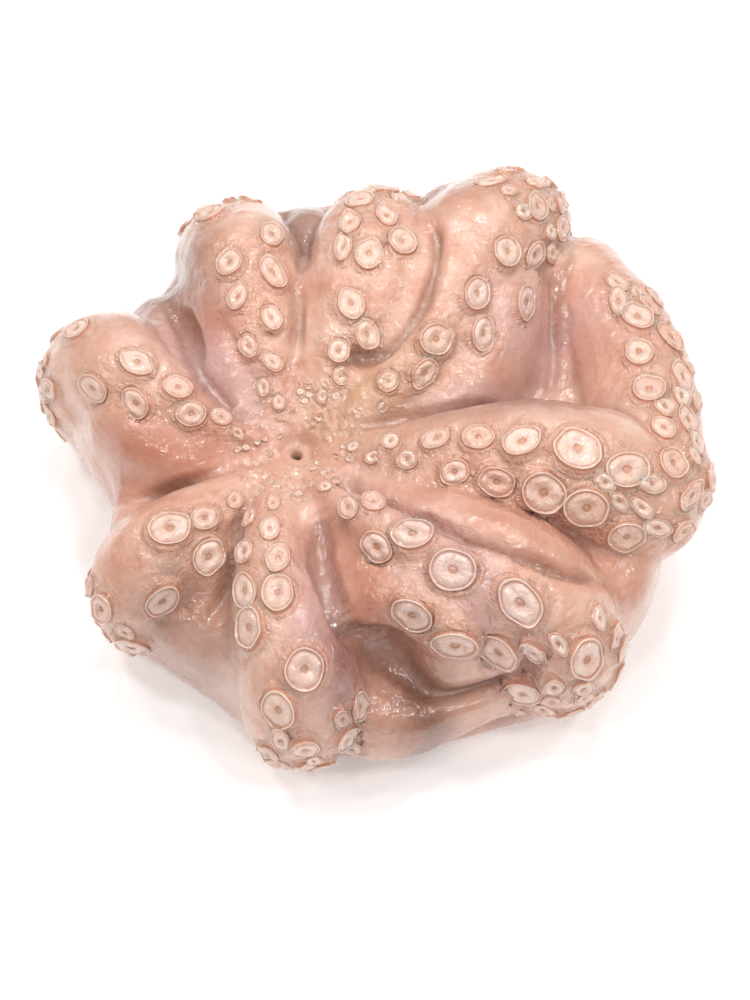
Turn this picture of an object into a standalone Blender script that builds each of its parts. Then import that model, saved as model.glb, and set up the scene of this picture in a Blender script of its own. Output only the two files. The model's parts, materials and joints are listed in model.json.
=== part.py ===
"""A whole raw octopus laid mouth up, its eight arms folded over the rim and tucked under the body.

Run it with: blender --background --python part.py
Lengths are in metres and angles in degrees. Headings are seen from above, counted from +X towards +Y.
Every heading and reach is measured from the mouth, where all the arms start.
"""

from collections import namedtuple
import math
import random

import bmesh
import bpy
from mathutils import Matrix, Vector
from mathutils.bvhtree import BVHTree

NAME = "octopus"

# The mouth stands off the middle of the animal, at the bottom of the hollow between the arms. Its beak sits
# at the bottom of a small hole, which widens upwards by the flare.
MOUTH = Vector((-0.02507, -0.01082, 0.0))
MOUTH_HEIGHT = 0.058
BEAK_RADIUS = 0.0022
BEAK_FLARE = 0.6
BEAK_DEPTH = 0.009

# Each arm leaves the mouth at root_heading and reaches the rim at rim_heading. reach runs from the mouth to
# the outermost skin, crest is the height of the arm's back above the table, and girth its thickest radius.
# flank is how far the arm's side spreads, positive to the side that is next anticlockwise. curl is the turn
# along the rim that the arm's end takes, where it isn't tucked under. web_reach, web_crest and web_dip say
# how far out and how high the web stands between this arm and the next, and how deep it sags on the way.
Arm = namedtuple(
    "Arm", "name root_heading rim_heading reach crest girth flank curl web_reach web_crest web_dip"
)
ARMS = (
    Arm("left", 165, 150, 0.104, 0.076, 0.0210, 0.013, 0, 0.090, 0.056, 0.006),
    Arm("back_left", 112, 105, 0.115, 0.082, 0.0225, 0.009, 0, 0.112, 0.062, 0.020),
    Arm("back", 63, 73, 0.121, 0.085, 0.0205, 0.003, 0, 0.130, 0.070, 0.006),
    Arm("back_right", 28, 53, 0.151, 0.088, 0.0240, -0.018, 0, 0.138, 0.054, 0.004),
    Arm("right", -12, -7, 0.140, 0.087, 0.0255, -0.006, 50, 0.128, 0.060, 0.004),
    Arm("front_right", -60, -36, 0.130, 0.085, 0.0230, -0.021, 0, 0.106, 0.044, -0.001),
    Arm("front", -112, -88, 0.104, 0.073, 0.0215, 0.015, 0, 0.079, 0.047, -0.006),
    Arm("front_left", -134, -141, 0.085, 0.068, 0.0190, 0.010, 0, 0.064, 0.052, 0.002),
)

# Stations of an arm's axis, from the mouth to the rim: share of the reach, share of the climb from the mouth
# to the crest, share of the girth.
OVER_STATIONS = (
    (0.06, 0.10, 0.15),
    (0.19, 0.45, 0.38),
    (0.36, 0.82, 0.70),
    (0.54, 1.00, 0.93),
    (0.70, 0.93, 1.00),
)
# Past the rim: distance back from the outermost skin in girths, height of the axis in crests, girth share.
UNDER_STATIONS = (
    (1.02, 0.51, 1.00),
    (1.30, 0.28, 0.90),
    (2.30, 0.19, 0.70),
    (3.20, 0.13, 0.45),
)
# An end that curls along the rim: share of the curl, shares of reach, crest and girth.
CURL_STATIONS = (
    (0.00, 0.82, 0.60, 0.96),
    (0.22, 0.85, 0.56, 0.86),
    (0.52, 0.88, 0.52, 0.84),
    (0.80, 0.91, 0.47, 0.82),
    (1.00, 0.92, 0.38, 0.76),
    (1.00, 0.76, 0.18, 0.50),
)
# The flank beside each station over the rim: share of its spread, share of the arm's girth there. It lies
# lower than the axis by a share of its spread.
FLANK_STATIONS = ((0.3, 1.0), (0.7, 1.0), (1.0, 1.0), (0.85, 0.92), (0.30, 0.66))
FLANK_DROP = 0.45
# An arm that runs nearly straight down keeps the sideways direction that it had higher up.
LEAST_LEVEL = 0.25

# The body and the web over it: one soft form, rounded over the rim by its edges, with slightly thinner limbs
# melted into it first, so that the full limbs then lie in hollows.
WEB_SEGMENTS = 96
WEB_RINGS = 44
WEB_EDGE = 0.014
WEB_UNDER_EDGE = 0.026
WEB_BELOW_MOUTH = 0.004
WEB_SHOULDER = 0.85
WEB_UNDERSIDE = -0.0015
NOSE_OVER_WEB = 0.45
LIMB_IN_WEB = 0.93
WEB_VOXEL = 0.0030
WEB_SMOOTHING = 12

# The skin over it all, and the shortest edge and the merging distance that its mesh keeps.
SKIN_VOXEL = 0.0018
SKIN_SMOOTHING = 5
SKIN_TRIANGLES = 4300
SHORTEST_EDGE = 0.00005
WELD = 0.00001

# The suckers stand in two rows on each arm, turn about. first and last are lengths along the arm's axis, and
# steps is the way on to the next sucker, in the other row, at the start and at the end. leans and spreads
# are angles round the axis, from the arm's back towards its clockwise side, at the start, halfway and at the
# end: the middle of the strip, and half the way between its rows. side is the row of the first sucker.
Strip = namedtuple("Strip", "arm first last steps side leans spreads narrowest widest")
STRIPS = (
    Strip("left", 0.0136, 0.105, (0.0072, 0.0105), -1, (-11, -32, -22), (9, 22, 30), 0.0050, 0.0112),
    Strip("back_left", 0.0108, 0.115, (0.0064, 0.0098), 1, (-10, 5, 2), (12, 21, 22), 0.0048, 0.0108),
    Strip("back", 0.0069, 0.105, (0.0068, 0.0104), 1, (15, 28, -34), (10, 20, 19), 0.0030, 0.0115),
    Strip("back_right", 0.0212, 0.145, (0.0084, 0.0124), 1, (30, 60, 20), (13, 15, 20), 0.0046, 0.0117),
    Strip("right", 0.0079, 0.119, (0.0061, 0.0078), 1, (10, 25, 44), (11, 17, 25), 0.0028, 0.0145),
    Strip("right", 0.1240, 0.190, (0.0076, 0.0100), -1, (22, 17, 34), (12, 19, 14), 0.0090, 0.0115),
    Strip("front_right", 0.0160, 0.128, (0.0062, 0.0122), 1, (-4, 66, 50), (19, 25, 38), 0.0052, 0.0162),
    Strip("front", 0.0136, 0.105, (0.0052, 0.0094), 1, (20, 30, -52), (21, 17, 23), 0.0044, 0.0126),
    Strip("front_left", 0.0232, 0.090, (0.0060, 0.0095), 1, (-36, -32, 18), (17, 25, 22), 0.0060, 0.0130),
)
# A sucker is full grown at this share of the reach. In a strip that starts past it, growing is quick.
FULL_GROWN = 0.55
SHORT_GROWTH = 0.010
LAST_SIZE = 0.75
# Unevenness: shares of a sucker's width, and degrees round the arm.
SIZE_SPREAD = 0.07
PLACE_SPREAD = 0.05
LEAN_SPREAD = 4
# A sucker shrinks to clear its neighbours, down to the least room. The smallest, and any that would come
# lower than this many widths above the table, are left out.
CUP_CLEARANCE = 1.04
LEAST_ROOM = 0.62
SMALLEST_CUP = 0.0052
LOWEST_CUP = 0.6
# The cup itself, in shares of its width.
CUP_SIDES = 8
CUP_FOOT = 0.84
CUP_HEIGHT = 0.14
CUP_ROOT = 0.30
CUP_DISH = 0.07


def ease(t):
    """0 to 1 with a gentle start and end."""
    t = min(1.0, max(0.0, t))
    return t * t * (3 - 2 * t)


def turn(heading, towards, share):
    """A heading between two others, turning the short way round."""
    return heading + ((towards - heading + 180) % 360 - 180) * share


def spot(heading, out, height):
    """A point that far out from the mouth."""
    angle = math.radians(heading)
    return MOUTH + Vector((out * math.cos(angle), out * math.sin(angle), height))


def flank_axis(arm, share=1.0):
    """The arm's broad side: its axis moved sideways and down."""
    axis = []
    points = arm_axis(arm, share)
    for i, (spread_share, girth_share) in enumerate(FLANK_STATIONS):
        place, radius = points[i]
        along = (points[i + 1][0] - points[max(0, i - 1)][0]).normalized()
        side = Vector((along.y, -along.x, 0)).normalized()
        spread = arm.flank * spread_share
        drop = Vector((0, 0, abs(spread) * FLANK_DROP))
        axis.append((place - side * spread - drop, radius * girth_share))
    return axis


def arm_axis(arm, share=1.0):
    """The arm's axis as (point, radius) pairs, from the mouth over the rim and under."""
    axis = []
    rim = OVER_STATIONS[-1][0]
    for out, climb, girth in OVER_STATIONS:
        radius = arm.girth * girth
        top = MOUTH_HEIGHT + (arm.crest - MOUTH_HEIGHT) * climb
        heading = turn(arm.root_heading, arm.rim_heading, ease(out / rim))
        axis.append((spot(heading, arm.reach * out, top - radius), radius * share))
    if arm.curl:
        for curl, out, height, girth in CURL_STATIONS:
            place = spot(arm.rim_heading + arm.curl * curl, arm.reach * out, arm.crest * height)
            axis.append((place, arm.girth * girth * share))
    else:
        for back, height, girth in UNDER_STATIONS:
            place = spot(arm.rim_heading, arm.reach - arm.girth * back, arm.crest * height)
            axis.append((place, arm.girth * girth * share))
    return axis


def smooth_axis(axis, steps=12):
    """The axis as an even curve through its points (Catmull-Rom), in small steps."""
    points = [axis[0], *axis, axis[-1]]
    curve = []
    for i in range(len(axis) - 1):
        window = points[i:i + 4]
        for k in range(steps):
            t = k / steps
            weights = (
                (-t + 2 * t**2 - t**3) / 2,
                (2 - 5 * t**2 + 3 * t**3) / 2,
                (t + 4 * t**2 - 3 * t**3) / 2,
                (t**3 - t**2) / 2,
            )
            place = sum((point * w for (point, _), w in zip(window, weights)), Vector())
            curve.append((place, sum(radius * w for (_, radius), w in zip(window, weights))))
    return curve


Frame = namedtuple("Frame", "length place along across up radius")


def limb_frames(axis):
    """Frames along a limb: length from the mouth, place, directions along, across and out, and radius."""
    curve = smooth_axis(axis)
    frames = []
    length = 0.0
    for i in range(len(curve) - 1):
        place, radius = curve[i]
        along = (curve[i + 1][0] - place).normalized()
        if frames:
            length += (place - frames[-1].place).length
        flat = Vector((along.y, -along.x, 0))
        across = flat.normalized() if flat.length > LEAST_LEVEL else frames[-1].across
        if frames and across.dot(frames[-1].across) < 0:
            across = -across
        frames.append(Frame(length, place, along, across, across.cross(along).normalized(), radius))
    return frames


def web_plan(share):
    """Headings all round at a share of the way out, each with the web's reach, crest and dip there."""
    plan = []
    for i, arm in enumerate(ARMS):
        following = ARMS[(i + 1) % len(ARMS)]
        heading = turn(arm.root_heading, arm.rim_heading, ease(share))
        onward = turn(following.root_heading, following.rim_heading, ease(share))
        crest = (arm.web_crest + ARMS[i - 1].web_crest) / 2
        plan.append((heading % 360, arm.reach - arm.girth * NOSE_OVER_WEB, crest, 0.0))
        plan.append((turn(heading, onward, 0.5) % 360, arm.web_reach, arm.web_crest, arm.web_dip))
    plan.sort()
    return plan


def web_at(heading, share):
    """The web's reach, crest and dip at a heading, eased between the arms and the gaps."""
    plan = web_plan(share)
    for i, right in enumerate(plan):
        left = plan[i - 1]
        span = (right[0] - left[0]) % 360
        if (heading - left[0]) % 360 <= span:
            t = ease(((heading - left[0]) % 360) / span)
            return [a + (b - a) * t for a, b in zip(left[1:], right[1:])]


def web_body():
    """The body under the arms and the web between them: a ball pressed out to the web's rim."""
    mesh = bmesh.new()
    bmesh.ops.create_uvsphere(mesh, u_segments=WEB_SEGMENTS, v_segments=WEB_RINGS, radius=1.0)
    for vert in mesh.verts:
        heading = math.degrees(math.atan2(vert.co.y, vert.co.x)) % 360
        share = min(1.0, math.hypot(vert.co.x, vert.co.y))
        reach, crest, dip = web_at(heading, share)
        top = MOUTH_HEIGHT - WEB_BELOW_MOUTH
        top += (crest - top) * ease(share / WEB_SHOULDER) - dip * math.sin(math.pi * share)
        edge = WEB_EDGE if vert.co.z >= 0 else WEB_UNDER_EDGE
        past = min(edge, max(0.0, edge - reach * (1 - share)))
        fall = edge - math.sqrt(edge**2 - past**2)
        height = top - fall if vert.co.z >= 0 else WEB_UNDERSIDE + fall
        if abs(vert.co.z) < WELD:
            height = (top + WEB_UNDERSIDE) / 2
        vert.co = spot(heading, reach * share, height)
    made = bpy.data.objects.new("web", bpy.data.meshes.new("web"))
    mesh.to_mesh(made.data)
    mesh.free()
    return made


def tube(name, axis):
    """A round limb along the axis, as a mesh with closed ends."""
    curve = bpy.data.curves.new(name, "CURVE")
    curve.dimensions = "3D"
    curve.bevel_depth = 1.0
    curve.bevel_resolution = 6
    curve.resolution_u = 8
    curve.use_fill_caps = True
    spline = curve.splines.new("BEZIER")
    spline.bezier_points.add(len(axis) - 1)
    for point, (place, radius) in zip(spline.bezier_points, axis):
        point.co = place
        point.radius = radius
        point.handle_left_type = point.handle_right_type = "AUTO"
    return as_mesh(bpy.data.objects.new(name, curve))


def as_mesh(obj):
    """The object with its modifiers applied, as a mesh object of the same name."""
    if obj.name not in bpy.context.scene.collection.objects:
        bpy.context.scene.collection.objects.link(obj)
    bpy.context.view_layer.update()
    graph = bpy.context.evaluated_depsgraph_get()
    mesh = bpy.data.meshes.new_from_object(obj.evaluated_get(graph))
    mesh.transform(obj.matrix_world)
    name = obj.name
    bpy.data.objects.remove(obj)
    made = bpy.data.objects.new(name, mesh)
    bpy.context.scene.collection.objects.link(made)
    return made


def melted(name, pieces, voxel, smoothing):
    """The pieces melted into one skin, with creases softened by the smoothing steps."""
    mesh = bmesh.new()
    for piece in pieces:
        mesh.from_mesh(piece.data)
        bpy.data.objects.remove(piece)
    bmesh.ops.remove_doubles(mesh, verts=mesh.verts, dist=WELD)
    made = bpy.data.objects.new(name, bpy.data.meshes.new(name))
    mesh.to_mesh(made.data)
    mesh.free()
    remesh = made.modifiers.new("melt", "REMESH")
    remesh.mode = "VOXEL"
    remesh.voxel_size = voxel
    smooth = made.modifiers.new("soften", "SMOOTH")
    smooth.factor = 0.5
    smooth.iterations = smoothing
    return as_mesh(made)


def outer_shell(obj):
    """Keeps the largest closed surface, so that no hollow stays sealed inside."""
    mesh = bmesh.new()
    mesh.from_mesh(obj.data)
    left = set(mesh.verts)
    shells = []
    while left:
        shell, front = set(), [left.pop()]
        while front:
            vert = front.pop()
            shell.add(vert)
            for edge in vert.link_edges:
                other = edge.other_vert(vert)
                if other in left:
                    left.remove(other)
                    front.append(other)
        shells.append(shell)
    shells.sort(key=len)
    spare = [vert for shell in shells[:-1] for vert in shell]
    bmesh.ops.delete(mesh, geom=spare, context="VERTS")
    mesh.to_mesh(obj.data)
    mesh.free()


def cut_flat(obj):
    """Cuts the body off at the table, so that it rests on a flat."""
    mesh = bmesh.new()
    mesh.from_mesh(obj.data)
    everything = [*mesh.verts, *mesh.edges, *mesh.faces]
    cut = bmesh.ops.bisect_plane(
        mesh, geom=everything, dist=WELD, plane_co=(0, 0, 0), plane_no=(0, 0, -1), clear_outer=True
    )
    for vert in mesh.verts:
        if vert.co.z < WELD:
            vert.co.z = 0.0
    rim = [item for item in cut["geom_cut"] if isinstance(item, bmesh.types.BMEdge)]
    bmesh.ops.contextual_create(mesh, geom=[edge for edge in rim if edge.is_boundary])
    bmesh.ops.triangulate(mesh, faces=mesh.faces)
    bmesh.ops.recalc_face_normals(mesh, faces=mesh.faces)
    mesh.to_mesh(obj.data)
    mesh.free()


def thinned(obj, triangles):
    """The object with about that many triangles."""
    thin = obj.modifiers.new("thin", "DECIMATE")
    thin.ratio = triangles / sum(len(face.vertices) - 2 for face in obj.data.polygons)
    thin.use_collapse_triangulate = True
    return as_mesh(obj)


def along_three(values, share):
    """A value eased through three given at the start, the middle and the end."""
    start, middle, end = values
    if share < 0.5:
        return start + (middle - start) * ease(share * 2)
    return middle + (end - middle) * ease(share * 2 - 1)


def sucker_places(skin):
    """Each sucker's middle on the skin, the way it faces, and its width."""
    tree = BVHTree.FromObject(skin, bpy.context.evaluated_depsgraph_get())
    by_name = {arm.name: arm for arm in ARMS}
    chance = random.Random(8)
    found = []
    for strip in STRIPS:
        arm = by_name[strip.arm]
        frames = limb_frames(arm_axis(arm))
        length, side = strip.first, strip.side
        while length < strip.last:
            share = (length - strip.first) / (strip.last - strip.first)
            grown = min(1.0, (length - strip.first) / max(SHORT_GROWTH, arm.reach * FULL_GROWN - strip.first))
            width = strip.narrowest + (strip.widest - strip.narrowest) * grown
            width *= 1 - (1 - LAST_SIZE) * ease(share * 3 - 2)
            width *= 1 + chance.uniform(-SIZE_SPREAD, SIZE_SPREAD)
            shift = chance.uniform(-PLACE_SPREAD, PLACE_SPREAD) * width
            frame = min(frames, key=lambda item: abs(item.length - length - shift))
            lean = along_three(strip.leans, share) + side * along_three(strip.spreads, share)
            lean = math.radians(lean + chance.uniform(-LEAN_SPREAD, LEAN_SPREAD))
            outward = frame.up * math.cos(lean) + frame.across * math.sin(lean)
            hit, normal, _, _ = tree.ray_cast(frame.place, outward)
            length += strip.steps[0] + (strip.steps[1] - strip.steps[0]) * share
            side = -side
            if hit is None or hit.z < width * LOWEST_CUP:
                continue
            facing = (normal + outward).normalized()
            for other, _, other_width in found:
                room = (hit - other).length * 2 / CUP_CLEARANCE - other_width
                if room < width * LEAST_ROOM:
                    break
                width = min(width, room)
            else:
                found.append((hit, facing, width))
    return found


def cups(places):
    """A low flaring cup with a dished top at each place, rooted in the skin."""
    mesh = bmesh.new()
    for place, facing, width in places:
        turned = facing.to_track_quat("Z", "Y").to_matrix().to_4x4()
        height = width * (CUP_HEIGHT + CUP_ROOT)
        middle = Matrix.Translation(place + facing * width * (CUP_HEIGHT - CUP_ROOT) / 2)
        made = bmesh.ops.create_cone(
            mesh, cap_ends=True, cap_tris=True, segments=CUP_SIDES,
            radius1=width * CUP_FOOT / 2, radius2=width / 2, depth=height, matrix=middle @ turned,
        )
        top = max(made["verts"], key=lambda vert: (vert.co - place).dot(facing) - (vert.co - place).length)
        top.co -= facing * width * CUP_DISH
    made = bpy.data.objects.new("cups", bpy.data.meshes.new("cups"))
    mesh.to_mesh(made.data)
    mesh.free()
    bpy.context.scene.collection.objects.link(made)
    return made


def beak_pit():
    """The hole where the beak sits: a cone that widens upwards."""
    mesh = bmesh.new()
    bmesh.ops.create_cone(
        mesh, cap_ends=True, segments=CUP_SIDES,
        radius1=BEAK_RADIUS * (1 - BEAK_FLARE), radius2=BEAK_RADIUS * (1 + BEAK_FLARE),
        depth=BEAK_DEPTH * 2, matrix=Matrix.Translation(MOUTH + Vector((0, 0, MOUTH_HEIGHT))),
    )
    made = bpy.data.objects.new("beak_pit", bpy.data.meshes.new("beak_pit"))
    mesh.to_mesh(made.data)
    mesh.free()
    bpy.context.scene.collection.objects.link(made)
    return made


def combined(obj, tool, operation):
    """The object with the tool added to it or cut from it, exactly."""
    change = obj.modifiers.new("change", "BOOLEAN")
    change.operation = operation
    change.solver = "EXACT"
    change.object = tool
    made = as_mesh(obj)
    bpy.data.objects.remove(tool)
    return made


def without_slivers(obj):
    """Melts away edges too short to make, which the exact union leaves behind."""
    mesh = bmesh.new()
    mesh.from_mesh(obj.data)
    bmesh.ops.dissolve_degenerate(mesh, edges=mesh.edges, dist=SHORTEST_EDGE)
    bmesh.ops.triangulate(mesh, faces=mesh.faces)
    mesh.to_mesh(obj.data)
    mesh.free()


def raw_skin():
    """Wet raw skin, pale pink."""
    skin = bpy.data.materials.new("raw_skin")
    skin.use_nodes = True
    shader = skin.node_tree.nodes["Principled BSDF"]
    shader.inputs["Base Color"].default_value = (0.55, 0.33, 0.26, 1.0)
    shader.inputs["Roughness"].default_value = 0.35
    shader.inputs["Metallic"].default_value = 0.0
    return skin


def main():
    """Makes the body, adds the suckers, sinks the mouth, and puts the object in its collection."""
    for obj in list(bpy.data.objects):
        bpy.data.objects.remove(obj)
    thin = [tube(arm.name, arm_axis(arm, LIMB_IN_WEB)) for arm in ARMS]
    thin += [tube(arm.name, flank_axis(arm)) for arm in ARMS]
    web = melted("web", [web_body(), *thin], WEB_VOXEL, WEB_SMOOTHING)
    limbs = [tube(arm.name, arm_axis(arm)) for arm in ARMS]
    limbs += [tube(arm.name, flank_axis(arm, LIMB_IN_WEB)) for arm in ARMS]
    body = melted(NAME, [web, *limbs], SKIN_VOXEL, SKIN_SMOOTHING)
    outer_shell(body)
    body = thinned(body, SKIN_TRIANGLES)
    cut_flat(body)
    places = [place for place in sucker_places(body) if place[2] > SMALLEST_CUP]
    body = combined(body, cups(places), "UNION")
    body = combined(body, beak_pit(), "DIFFERENCE")
    without_slivers(body)
    body.data.materials.append(raw_skin())
    home = bpy.data.collections.new("octopus_whole")
    bpy.context.scene.collection.children.link(home)
    bpy.context.scene.collection.objects.unlink(body)
    home.objects.link(body)


main()
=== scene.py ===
"""A whole raw octopus laid mouth up, its arms folded over the rim: its looks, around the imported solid.

Lengths are in metres and angles in degrees. Headings are seen from above, counted from +X towards +Y, and
every heading and reach is measured from the mouth, where all the arms start.
"""

from collections import namedtuple
import json
import math
import random

import bpy
from mathutils import Matrix, Vector, noise
from mathutils.bvhtree import BVHTree
import numpy as np

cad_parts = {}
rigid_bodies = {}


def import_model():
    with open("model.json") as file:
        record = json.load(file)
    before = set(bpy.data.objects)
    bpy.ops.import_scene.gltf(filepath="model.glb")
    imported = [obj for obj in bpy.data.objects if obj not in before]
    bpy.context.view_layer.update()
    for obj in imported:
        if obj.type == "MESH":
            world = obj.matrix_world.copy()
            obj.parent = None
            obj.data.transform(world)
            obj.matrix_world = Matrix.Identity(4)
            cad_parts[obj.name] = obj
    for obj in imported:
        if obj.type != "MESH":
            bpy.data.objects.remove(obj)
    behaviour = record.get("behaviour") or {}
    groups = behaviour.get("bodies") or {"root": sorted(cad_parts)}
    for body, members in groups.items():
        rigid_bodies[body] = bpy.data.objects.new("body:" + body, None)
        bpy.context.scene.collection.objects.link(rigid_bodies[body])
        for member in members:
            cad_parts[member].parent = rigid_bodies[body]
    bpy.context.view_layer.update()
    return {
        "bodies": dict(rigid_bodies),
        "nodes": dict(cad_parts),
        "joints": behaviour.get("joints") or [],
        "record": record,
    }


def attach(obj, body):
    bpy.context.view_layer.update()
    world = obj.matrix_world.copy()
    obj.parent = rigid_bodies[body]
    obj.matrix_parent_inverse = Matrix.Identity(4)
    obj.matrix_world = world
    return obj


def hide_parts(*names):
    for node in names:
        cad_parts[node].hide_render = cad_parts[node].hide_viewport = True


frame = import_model()


# ---- The arms -------------------------------------------------------------------------------------------
# Eight arms of solid muscle under thin skin. They start round the mouth, arch over the rim of the body and
# tuck in below it; one lies along the rim instead, curled back towards its neighbour. Each is a round limb
# with a broader flank beside it.

MOUTH = Vector((-0.02507, -0.01082, 0.0))
MOUTH_HEIGHT = 0.058

Arm = namedtuple(
    "Arm", "name root_heading rim_heading reach crest girth flank curl web_reach web_crest web_dip"
)
ARMS = (
    Arm("left", 165, 150, 0.104, 0.076, 0.0210, 0.013, 0, 0.090, 0.056, 0.006),
    Arm("back_left", 112, 105, 0.115, 0.082, 0.0225, 0.009, 0, 0.112, 0.062, 0.020),
    Arm("back", 63, 73, 0.121, 0.085, 0.0205, 0.003, 0, 0.130, 0.070, 0.006),
    Arm("back_right", 28, 53, 0.151, 0.088, 0.0240, -0.018, 0, 0.138, 0.054, 0.004),
    Arm("right", -12, -7, 0.140, 0.087, 0.0255, -0.006, 50, 0.128, 0.060, 0.004),
    Arm("front_right", -60, -36, 0.130, 0.085, 0.0230, -0.021, 0, 0.106, 0.044, -0.001),
    Arm("front", -112, -88, 0.104, 0.073, 0.0215, 0.015, 0, 0.079, 0.047, -0.006),
    Arm("front_left", -134, -141, 0.085, 0.068, 0.0190, 0.010, 0, 0.064, 0.052, 0.002),
)
# Stations of an arm's axis, from the mouth to the rim: share of the reach, share of the climb from the mouth
# to the crest, share of the girth. Past the rim: distance back from the outermost skin in girths, height of
# the axis in crests, girth share. On the curled end: share of the curl, shares of reach, crest and girth.
OVER_STATIONS = (
    (0.06, 0.10, 0.15),
    (0.19, 0.45, 0.38),
    (0.36, 0.82, 0.70),
    (0.54, 1.00, 0.93),
    (0.70, 0.93, 1.00),
)
UNDER_STATIONS = (
    (1.02, 0.51, 1.00),
    (1.30, 0.28, 0.90),
    (2.30, 0.19, 0.70),
    (3.20, 0.13, 0.45),
)
CURL_STATIONS = (
    (0.00, 0.82, 0.60, 0.96),
    (0.22, 0.85, 0.56, 0.86),
    (0.52, 0.88, 0.52, 0.84),
    (0.80, 0.91, 0.47, 0.82),
    (1.00, 0.92, 0.38, 0.76),
    (1.00, 0.76, 0.18, 0.50),
)
FLANK_STATIONS = ((0.3, 1.0), (0.7, 1.0), (1.0, 1.0), (0.85, 0.92), (0.30, 0.66))
FLANK_DROP = 0.45
LEAST_LEVEL = 0.25
LIMB_IN_WEB = 0.93

Frame = namedtuple("Frame", "length place along across up radius")


def ease(t):
    """0 to 1 with a gentle start and end."""
    t = min(1.0, max(0.0, t))
    return t * t * (3 - 2 * t)


def turn(heading, towards, share):
    """A heading between two others, turning the short way round."""
    return heading + ((towards - heading + 180) % 360 - 180) * share


def spot(heading, out, height):
    """A point that far out from the mouth."""
    angle = math.radians(heading)
    return MOUTH + Vector((out * math.cos(angle), out * math.sin(angle), height))


def arm_axis(arm, share=1.0):
    """The arm's axis as (point, radius) pairs, from the mouth over the rim and under."""
    axis = []
    rim = OVER_STATIONS[-1][0]
    for out, climb, girth in OVER_STATIONS:
        radius = arm.girth * girth
        top = MOUTH_HEIGHT + (arm.crest - MOUTH_HEIGHT) * climb
        heading = turn(arm.root_heading, arm.rim_heading, ease(out / rim))
        axis.append((spot(heading, arm.reach * out, top - radius), radius * share))
    if arm.curl:
        for curl, out, height, girth in CURL_STATIONS:
            place = spot(arm.rim_heading + arm.curl * curl, arm.reach * out, arm.crest * height)
            axis.append((place, arm.girth * girth * share))
    else:
        for back, height, girth in UNDER_STATIONS:
            place = spot(arm.rim_heading, arm.reach - arm.girth * back, arm.crest * height)
            axis.append((place, arm.girth * girth * share))
    return axis


def flank_axis(arm, share=1.0):
    """The arm's broad side: its axis moved sideways and down."""
    axis = []
    points = arm_axis(arm, share)
    for i, (spread_share, girth_share) in enumerate(FLANK_STATIONS):
        place, radius = points[i]
        along = (points[i + 1][0] - points[max(0, i - 1)][0]).normalized()
        side = Vector((along.y, -along.x, 0)).normalized()
        spread = arm.flank * spread_share
        drop = Vector((0, 0, abs(spread) * FLANK_DROP))
        axis.append((place - side * spread - drop, radius * girth_share))
    return axis


def smooth_axis(axis, steps=12):
    """The axis as an even curve through its points (Catmull-Rom), in small steps."""
    points = [axis[0], *axis, axis[-1]]
    curve = []
    for i in range(len(axis) - 1):
        window = points[i:i + 4]
        for k in range(steps):
            t = k / steps
            weights = (
                (-t + 2 * t**2 - t**3) / 2,
                (2 - 5 * t**2 + 3 * t**3) / 2,
                (t + 4 * t**2 - 3 * t**3) / 2,
                (t**3 - t**2) / 2,
            )
            place = sum((point * w for (point, _), w in zip(window, weights)), Vector())
            curve.append((place, sum(radius * w for (_, radius), w in zip(window, weights))))
    return curve


def limb_frames(axis):
    """Frames along a limb: length from the mouth, place, directions along, across and out, and radius."""
    curve = smooth_axis(axis)
    frames = []
    length = 0.0
    for i in range(len(curve) - 1):
        place, radius = curve[i]
        along = (curve[i + 1][0] - place).normalized()
        if frames:
            length += (place - frames[-1].place).length
        flat = Vector((along.y, -along.x, 0))
        across = flat.normalized() if flat.length > LEAST_LEVEL else frames[-1].across
        if frames and across.dot(frames[-1].across) < 0:
            across = -across
        frames.append(Frame(length, place, along, across, across.cross(along).normalized(), radius))
    return frames


def limb(axis):
    """A round limb along the axis, with closed ends: a curve with a bevel, made a mesh."""
    bpy.ops.object.select_all(action="DESELECT")
    bpy.ops.curve.primitive_bezier_curve_add()
    curve = bpy.context.object.data
    curve.bevel_depth = 1.0
    curve.bevel_resolution = 7
    curve.resolution_u = 10
    curve.use_fill_caps = True
    spline = curve.splines[0]
    spline.bezier_points.add(len(axis) - len(spline.bezier_points))
    for point, (place, radius) in zip(spline.bezier_points, axis):
        point.co = place
        point.radius = radius
        point.handle_left_type = point.handle_right_type = "AUTO"
    bpy.ops.object.convert(target="MESH")
    return bpy.context.object


# ---- The web and the body -------------------------------------------------------------------------------
# The body under the arms, and the thin web of skin that spans from arm to arm like an umbrella, sagging a
# little between them. Both are one soft form: a ball pressed out to the web's rim.

WEB_SEGMENTS = 96
WEB_RINGS = 44
WEB_EDGE = 0.014
WEB_UNDER_EDGE = 0.026
WEB_BELOW_MOUTH = 0.004
WEB_SHOULDER = 0.85
WEB_UNDERSIDE = -0.0015
NOSE_OVER_WEB = 0.45
WEB_VOXEL = 0.0030
WEB_SMOOTHING = 12
WELD = 0.00001


def web_plan(share):
    """Headings all round at a share of the way out, each with the web's reach, crest and dip there."""
    plan = []
    for i, arm in enumerate(ARMS):
        following = ARMS[(i + 1) % len(ARMS)]
        heading = turn(arm.root_heading, arm.rim_heading, ease(share))
        onward = turn(following.root_heading, following.rim_heading, ease(share))
        crest = (arm.web_crest + ARMS[i - 1].web_crest) / 2
        plan.append((heading % 360, arm.reach - arm.girth * NOSE_OVER_WEB, crest, 0.0))
        plan.append((turn(heading, onward, 0.5) % 360, arm.web_reach, arm.web_crest, arm.web_dip))
    plan.sort()
    return plan


def web_at(heading, share):
    """The web's reach, crest and dip at a heading, eased between the arms and the gaps."""
    plan = web_plan(share)
    for i, right in enumerate(plan):
        left = plan[i - 1]
        span = (right[0] - left[0]) % 360
        if (heading - left[0]) % 360 <= span:
            t = ease(((heading - left[0]) % 360) / span)
            return [a + (b - a) * t for a, b in zip(left[1:], right[1:])]


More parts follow.
